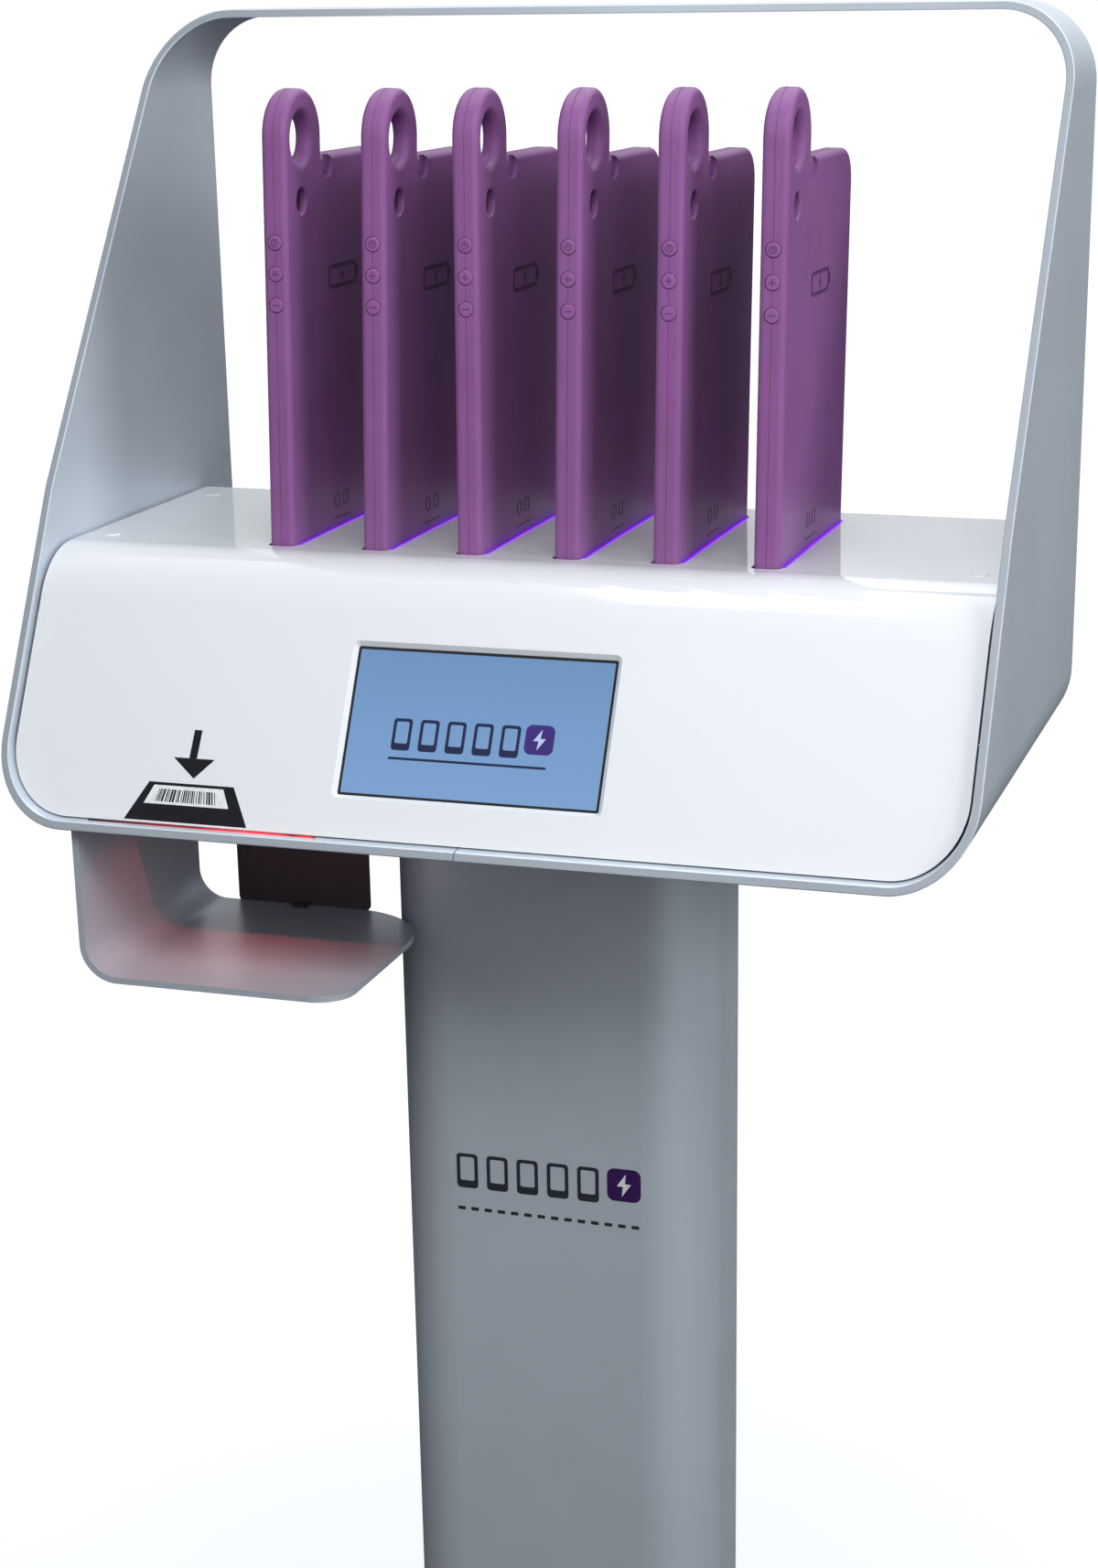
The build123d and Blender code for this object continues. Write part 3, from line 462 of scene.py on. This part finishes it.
def tablet_icons(count, first_x, pitch, middle, size, line):
    """A row of standing tablets as (outer, inner) outlines, each with a wider foot margin."""
    width, height = size
    pairs = []
    for i in range(count):
        x = first_x + i * pitch
        outer = rounded_box(x, middle, width, height, width * 0.18)
        inner_height = height - 3.2 * line
        inner = rounded_box(x, middle + 0.6 * line, width - 2 * line, inner_height, width * 0.09)
        pairs.append((outer, inner))
    return pairs


class Surface:
    """A flat place on the object: u to the right, v up, w out of the surface, all in metres."""

    def __init__(self, origin, right, up):
        self.origin = Vector(origin)
        self.right = Vector(right).normalized()
        self.up = Vector(up).normalized()
        self.out = self.right.cross(self.up)

    def __call__(self, u, v, w):
        return self.origin + self.right * u + self.up * v + self.out * w


def scaled(points):
    return [(u * mm, v * mm) for u, v in points]


def layer(outline, low, high, hole=None):
    """A plate drawn in millimetres, between two heights in metres."""
    return scaled(outline), low, high, scaled(hole) if hole else None


def plate(bm, surface, outline, low, high, hole):
    """Adds one flat closed plate; a hole has as many points as the outline."""
    rings = []
    for loop in (outline, hole) if hole else (outline,):
        lower = [bm.verts.new(surface(u, v, low)) for u, v in loop]
        upper = [bm.verts.new(surface(u, v, high)) for u, v in loop]
        rings.append((lower, upper))
    count = len(outline)
    for index, (lower, upper) in enumerate(rings):
        for i in range(count):
            j = (i + 1) % count
            side = [lower[i], lower[j], upper[j], upper[i]]
            bm.faces.new(side if index == 0 else side[::-1])
    if hole:
        for i in range(count):
            j = (i + 1) % count
            bm.faces.new([rings[0][1][i], rings[0][1][j], rings[1][1][j], rings[1][1][i]])
            bm.faces.new([rings[0][0][j], rings[0][0][i], rings[1][0][i], rings[1][0][j]])
    else:
        bm.faces.new(rings[0][1])
        bm.faces.new(rings[0][0][::-1])


def flat_piece(name, surface, layers, material, body):
    """Makes one piece of the layers, which rides on a body."""
    bm = bmesh.new()
    for one in layers:
        plate(bm, surface, *one)
    bmesh.ops.recalc_face_normals(bm, faces=bm.faces)
    mesh = bpy.data.meshes.new(name)
    bm.to_mesh(mesh)
    bm.free()
    mesh.materials.append(material)
    piece = bpy.data.objects.new(name, mesh)
    bpy.context.scene.collection.objects.link(piece)
    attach(piece, body)


def reach(node, direction):
    """How far a node stands out in one direction."""
    return max(direction.dot(vertex.co) for vertex in nodes[node].data.vertices)


INK = 0.06 * mm  # how thick a printed layer is


# ---- the sloping face ----------------------------------------------------------------------------
def sloped_surface(node):
    """The node's sloping front: v counts up the slope from the head's lip."""
    height = reach(node, slope_out) - lip_foot.dot(slope_out)
    return Surface(lip_foot + slope_out * height, (1, 0, 0), slope_up)


face_surface = sloped_surface("deck_cover")
glass_surface = sloped_surface("display_glass")

# Places on the face in mm: x from the middle of the head, then the height up the slope.
SCREEN_SIZE = (155, 86)
SCREEN_MIDDLE = 80.5
SCREEN_KEY = (38.5, 76)
ARROW_SHAFT = [(-173.2, 67.6), (-173.9, 50.2), (-169.1, 50.2), (-168.3, 67.6)]
ARROW_HEAD = [(-183.8, 50.3), (-169.2, 38.2), (-157.6, 50.3)]
STICKER = [(-209.6, 11.2), (-131, 11.2), (-142.9, 34.8), (-197, 34.8)]
LABEL = [(-198.5, 21.6), (-144.2, 21.6), (-149.2, 33), (-193.4, 33)]
LABEL_MIDDLE = -171.3
BARS_FROM, BARS_TO = -191.5, -153
BARS_FOOT, BARS_TOP = 23.2, 30.8
BARS_LEAN = 0.09  # how fast the bars close up towards the label's middle
LABEL_TOP = 1.6 * INK


def display_picture():
    """Five plain tablets, a charging bolt and a rule, on a lit blue ground."""
    half_rise = slope_up.z * SCREEN_SIZE[1] / 2 * mm
    centre = glass_surface(0, SCREEN_MIDDLE * mm, 0).z

    def lit_piece(name, layers, light, stops):
        material = glow(light, stops, 1.0, "Z", centre - half_rise, centre + half_rise)
        flat_piece(name, glass_surface, layers, material, "kiosk")

    ground = [layer(rounded_box(0, SCREEN_MIDDLE, *SCREEN_SIZE, 0.6), 0.01 * mm, INK)]
    blue = ((0, (0.19, 0.345, 0.61)), (0.5, (0.17, 0.315, 0.57)), (1, (0.145, 0.28, 0.51)))
    lit_piece("screen_picture", ground, "screen_light", blue)
    tablets = tablet_icons(5, -45, 16.5, 74, (11.5, 19), 1.9)
    icons = [layer(outer, INK, 2 * INK, inner) for outer, inner in tablets]
    icons.append(layer(rounded_box(-3.5, 59.6, 96, 1.5, 0.7), INK, 2 * INK))
    navy = ((0, (0.004, 0.010, 0.055)), (1, (0.006, 0.014, 0.075)))
    lit_piece("screen_icons", icons, "screen_ink", navy)
    key = [layer(rounded_box(*SCREEN_KEY, 17.5, 17.5, 4), INK, 2 * INK)]
    violet = ((0, (0.03, 0.012, 0.16)), (1, (0.045, 0.018, 0.22)))
    lit_piece("screen_key", key, "screen_key", violet)
    bolt = [layer(bolt_shape(*SCREEN_KEY, 1.25), 2 * INK, 3 * INK)]
    pale = ((0, (0.42, 0.55, 0.8)), (1, (0.5, 0.62, 0.85)))
    lit_piece("screen_bolt", bolt, "screen_bolt", pale)


def scanner_pictogram():
    """An arrow down to a label, whose bars have random widths and code nothing."""
    def printed(name, layers, ink):
        flat_piece(name, face_surface, layers, ink, "kiosk")

    dark_shapes = [layer(shape, 0, INK) for shape in (ARROW_SHAFT, ARROW_HEAD, STICKER)]
    printed("scan_pictogram", dark_shapes, dark_mark)
    printed("scan_label", [layer(LABEL, INK, LABEL_TOP)], label_white)
    pick = random.Random(6)
    bars = []
    x = BARS_FROM
    while x < BARS_TO:
        width = pick.choice((0.5, 0.5, 0.9, 1.3))
        lean = (x - LABEL_MIDDLE) * BARS_LEAN
        top = [(x + width - lean, BARS_TOP), (x - lean, BARS_TOP)]
        bars.append([(x, BARS_FOOT), (x + width, BARS_FOOT), *top])
        x += width + pick.choice((0.5, 0.7, 1.2))
    printed("scan_bars", [layer(bar, LABEL_TOP, 2.1 * INK) for bar in bars], dark_mark)


def cover_edge(half_width, foot, radius, steps=10):
    """A line along the cover's foot, from half way round one corner to half way round the other."""
    left = []
    for step in range(steps + 1):
        turn = math.pi * (1.25 + 0.25 * step / steps)
        x = radius - half_width + radius * math.cos(turn)
        left.append((x, foot + radius + radius * math.sin(turn)))
    return left + [(-x, height) for x, height in reversed(left)]


def cover_joint_painted_shade():
    """A dark strip laid in the joint between the cover and the band: painted shade of the gap."""
    band_side = cover_edge(289.95, 5.05, 43)
    cover_side = cover_edge(288.95, 5.95, 42)
    outline = [(x, height / slope_up.z) for x, height in band_side + cover_side[::-1]]
    strip = [layer(outline, -2.4 * mm, 0.9 * mm)]
    flat_piece("cover_joint_painted_shade", face_surface, strip, painted_shade_black, "kiosk")


# painted light: the red leak's brighter and darker stretches along the joint
RED_LEAK = (
    (0, (0.0, 0.0, 0.0)),
    (0.2, (0.12, 0.0, 0.004)),
    (0.5, (0.3, 0.002, 0.01)),
    (0.66, (1.0, 0.03, 0.04)),
    (0.84, (0.9, 0.02, 0.03)),
    (0.9, (0.25, 0.0, 0.01)),
    (0.97, (0.8, 0.02, 0.02)),
    (1, (0.1, 0.0, 0.0)),
)
LEAK_FROM, LEAK_TO = -232, -87  # mm along the joint


def scan_glow():
    """A glowing strip that is no lamp: painted red scanner light that shows in the joint under the
    cover's edge.
    """
    cover_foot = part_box("deck_cover")[0]
    joint_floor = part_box("scanner_window")[0].z
    joint = Surface((0, cover_foot.y - 1.6 * mm, 0), (1, 0, 0), (0, 0, 1))
    middle = (cover_foot.z + joint_floor) / 2 / mm
    height = (cover_foot.z - joint_floor) / mm - 0.1
    shape = rounded_box((LEAK_FROM + LEAK_TO) / 2, middle, LEAK_TO - LEAK_FROM, height, 0.2)
    light = glow("red_leak", RED_LEAK, 1.6, "X", LEAK_FROM * mm, LEAK_TO * mm)
    flat_piece("scan_glow", joint, [layer(shape, -0.2 * mm, 0)], light, "kiosk")


def scanner_light():
    """The reader's red line: the window's back edge cuts it off sharply on the tray."""
    behind_front, above_foot = 20.8 * mm, 11 * mm
    line_size = (0.03, 0.0004)
    low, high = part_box("scanner_module")
    place = Vector(((low.x + high.x) / 2, low.y + behind_front, low.z + above_foot))
    area_light("scanner_line", place, place - Vector((0, 0, 1)), line_size, 0.15, (1, 0.04, 0.03))


display_picture()
scanner_pictogram()
cover_joint_painted_shade()
scan_glow()
scanner_light()


# ---- column badge: places in mm from the column's middle, and up from the head's underside -------
BADGE_KEY = (53, -257)
DASHES = 14
DASHES_FROM, DASHES_LENGTH = -62, 127
DASHES_HEIGHT = -285.5


def column_badge():
    """The display's five tablets and charging bolt again, over a dashed rule."""
    front = Surface((0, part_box("column_tube")[0].y, head_base), (1, 0, 0), (0, 0, 1))

    def printed(name, layers, ink):
        flat_piece(name, front, layers, ink, "kiosk")

    tablets = tablet_icons(5, -53, 20.5, -259, (14.5, 24), 2.4)
    icons = [layer(outer, 0, INK, inner) for outer, inner in tablets]
    for i in range(DASHES):
        x = DASHES_FROM + DASHES_LENGTH * (i + 0.5) / DASHES
        icons.append(layer(rounded_box(x, DASHES_HEIGHT, 5.2, 2.4, 0.6), 0, INK))
    printed("column_mark", icons, ink_grey)
    printed("column_key", [layer(rounded_box(*BADGE_KEY, 22.5, 22.5, 5), 0, INK)], ink_violet)
    printed("column_bolt", [layer(bolt_shape(*BADGE_KEY, 1.6), INK, 2 * INK)], label_white)


column_badge()


# ---- what each tablet carries: mm from the case's front edge or middle, and up from its foot ----
BATTERY = (84, 189)
LOW_MARKS = 51.5
LENS = (23, 156.5)
SCREEN = (0, 126.6)
RAISED, RAISED_LOW = 0.3 * mm, 0.2 * mm


def leaning_up(bay):
    """The way this tablet stands, and lifts."""
    return Vector(joint_axes[f"tablet_lift_{bay}"]).normalized()


def leaning_surface(bay, node, right):
    """A flat side of a piece of this bay: u from the case's front or middle, v up from its foot."""
    up = leaning_up(bay)
    side = Surface((0, 0, 0), right, up)
    foot = -reach(f"case_{bay}", -up)
    low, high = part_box(f"case_{bay}")
    start = low.y if right[1] > 0 else (low.y + high.y) / 2
    side.origin = side.out * reach(node, side.out) + up * foot + Vector((0, start, 0))
    return side


def case_mark():
    """A battery with a bolt, and low down a ring, a square and a rule."""
    return [
        layer(rounded_box(*BATTERY, 44, 14, 3), 0, RAISED, rounded_box(*BATTERY, 40, 10, 1.5)),
        layer(rounded_box(108.2, BATTERY[1], 3, 6, 0.8), 0, RAISED),
        layer(bolt_shape(*BATTERY, 0.95), 0, RAISED),
        layer(disc(70, LOW_MARKS, 4.6), 0, RAISED_LOW, disc(70, LOW_MARKS, 3.4)),
        layer(
            rounded_box(84, LOW_MARKS, 8.6, 8.6, 1.6), 0, RAISED_LOW,
            rounded_box(84, LOW_MARKS, 6.2, 6.2, 0.8),
        ),
        layer(rounded_box(78, 40.5, 27, 0.9, 0.4), 0, RAISED_LOW),
    ]


def tablet_details(bay):
    """The case's marks, the camera, and the dark screen on its glass."""
    body = f"tablet_unit_{bay}"
    case_back = leaning_surface(bay, f"case_{bay}", (0, 1, 0))
    back = leaning_surface(bay, f"tablet_{bay}", (0, 1, 0))
    front = leaning_surface(bay, f"tablet_{bay}", (0, -1, 0))
    ring = [layer(disc(*LENS, 4.4), 0, 1.5 * mm, disc(*LENS, 3.4))]
    pane = [layer(disc(*LENS, 3.3), 0, 1.2 * mm)]
    glass = [layer(rounded_box(*SCREEN, 137.6, 233.4, 1.5), 0, 0.3 * mm)]
    screen = [layer(rounded_box(*SCREEN, 131, 216, 0.8), 0.3 * mm, 0.36 * mm)]
    flat_piece(f"case_mark_{bay}", case_back, case_mark(), purple_mark_painted_shade, body)
    flat_piece(f"lens_ring_{bay}", back, ring, black_plastic, body)
    flat_piece(f"lens_glass_{bay}", back, pane, tablet_glass, body)
    flat_piece(f"tablet_glass_{bay}", front, glass, tablet_glass, body)
    flat_piece(f"tablet_screen_{bay}", front, screen, tablet_screen, body)


def stroke(y, width, height):
    return rounded_box(0, y, width, height, 0.35, 3)


BUTTON_SYMBOLS = {
    # (outline, hole) pairs, in mm from the button's middle
    "power": [(disc(0, 0, 2.3, 32), disc(0, 0, 1.6, 32)), (stroke(0.35, 0.8, 1.9), None)],
    "volume_up": [
        (stroke(0, 4.4, 0.8), None),
        (stroke(1.4, 0.8, 1.6), None),
        (stroke(-1.4, 0.8, 1.6), None),
    ],
    "volume_down": [(stroke(0, 4.4, 0.8), None)],
}


def button_symbols(bay):
    up = leaning_up(bay)
    for kind, symbol in BUTTON_SYMBOLS.items():
        node = f"{kind}_button_{bay}"
        low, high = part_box(node)
        middle = (low + high) / 2
        front = Surface((middle.x, low.y, middle.z), up.cross(Vector((0, -1, 0))), up)
        shapes = [layer(outline, -0.05 * mm, 0.16 * mm, hole) for outline, hole in symbol]
        flat_piece(f"{kind}_symbol_{bay}", front, shapes, purple_symbol_painted_shade, node)


for bay in bays:
    tablet_details(bay)
    button_symbols(bay)


# ---- floor ---------------------------------------------------------------------------------------
FLOOR_COLOR = (0.86, 0.865, 0.87)
NEAR, FAR = 0.4, 1.8  # metres from the kiosk's foot
GLOW_NEAR, GLOW_FAR = 0.17, 0.45
FLOOR_HALF_SIZE = 120


def floor_material():
    material, tree, bsdf = new_material("pale_floor", FLOOR_COLOR, 0.8)
    bsdf.inputs["Emission Color"].default_value = (1, 1, 1, 1)
    mottle(tree, bsdf, FLOOR_COLOR, 0.01, 2)
    place = tree.nodes.new("ShaderNodeTexCoord")
    distance = tree.nodes.new("ShaderNodeVectorMath")
    distance.operation = "LENGTH"
    span = tree.nodes.new("ShaderNodeMapRange")
    span.inputs["From Min"].default_value = NEAR
    span.inputs["From Max"].default_value = FAR
    span.inputs["To Min"].default_value = GLOW_NEAR
    span.inputs["To Max"].default_value = GLOW_FAR
    tree.links.new(place.outputs["Object"], distance.inputs[0])
    tree.links.new(distance.outputs["Value"], span.inputs["Value"])
    tree.links.new(span.outputs["Result"], bsdf.inputs["Emission Strength"])
    return material


def make_floor():
    """A pale floor, whiter far away, that catches soft shadows but throws no bounce light up."""
    bm = bmesh.new()
    bmesh.ops.create_grid(bm, x_segments=4, y_segments=4, size=FLOOR_HALF_SIZE)
    mesh = bpy.data.meshes.new("floor")
    bm.to_mesh(mesh)
    bm.free()
    mesh.materials.append(floor_material())
    floor = bpy.data.objects.new("floor", mesh)
    floor.location.z = cad_box[0].z - 0.3 * mm
    floor.visible_diffuse = False
    floor.visible_glossy = False
    floor.visible_shadow = False
    bpy.context.scene.collection.objects.link(floor)


make_floor()
